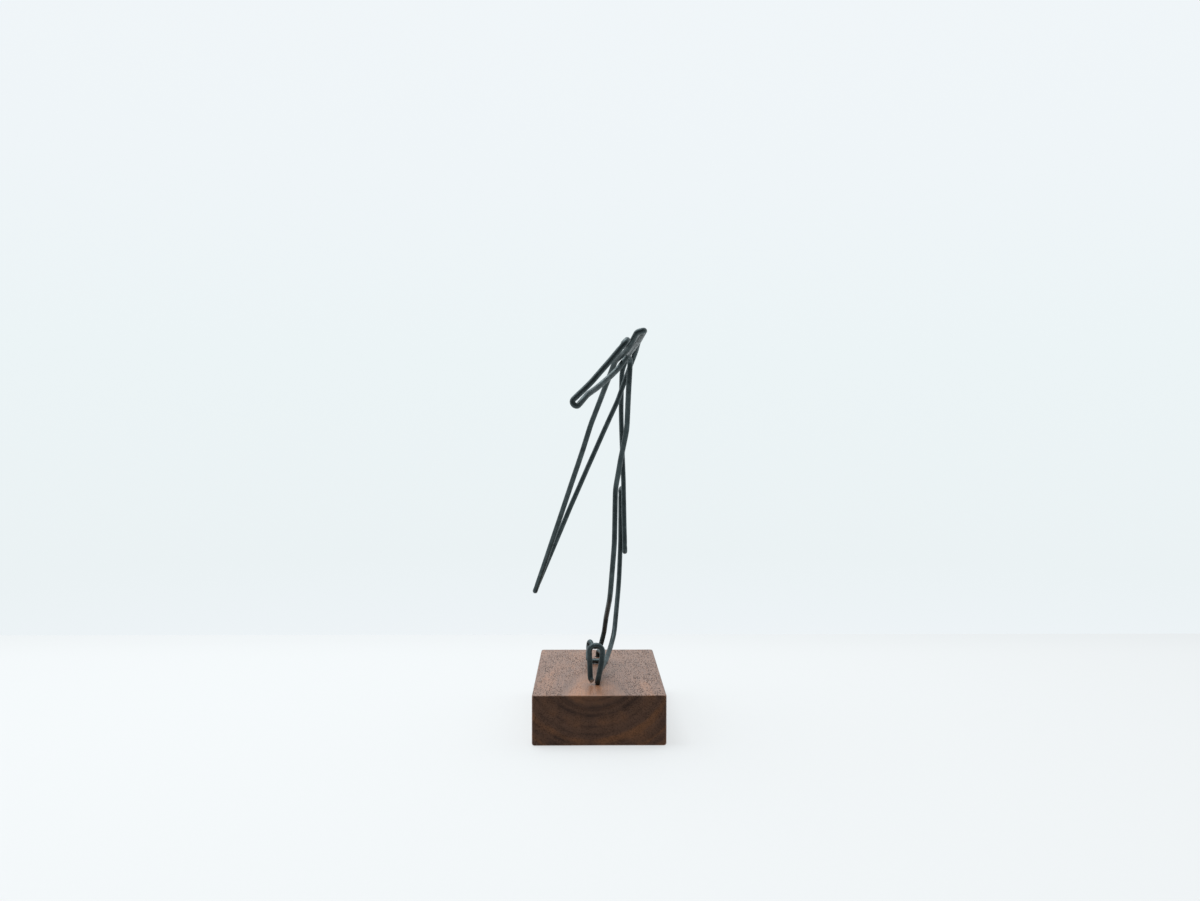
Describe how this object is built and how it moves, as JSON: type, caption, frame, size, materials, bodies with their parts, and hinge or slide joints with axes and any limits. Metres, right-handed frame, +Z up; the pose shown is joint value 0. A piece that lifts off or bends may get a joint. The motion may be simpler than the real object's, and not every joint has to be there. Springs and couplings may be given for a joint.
{
  "type": "wire sculpture",
  "caption": "Abstract standing figure bent from one continuous dark wire, with two long legs and a folded arm, fixed on a small walnut block.",
  "frame": {"origin": "centre of the block's underside", "axes": "+Z up, +X right and +Y away from the viewer, along the block's grain"},
  "size_m": [0.0533, 0.1058, 0.1574],
  "materials": {
    "blackened_wire": "satin charcoal grey, softly shiny, with faint tool marks at the bends",
    "walnut": "oiled open-pored walnut with sanded edges, end grain on the front and back"
  },
  "bodies": {
    "root": {"wire_figure": "blackened_wire", "walnut_base": "walnut"}
  },
  "joints": []
}
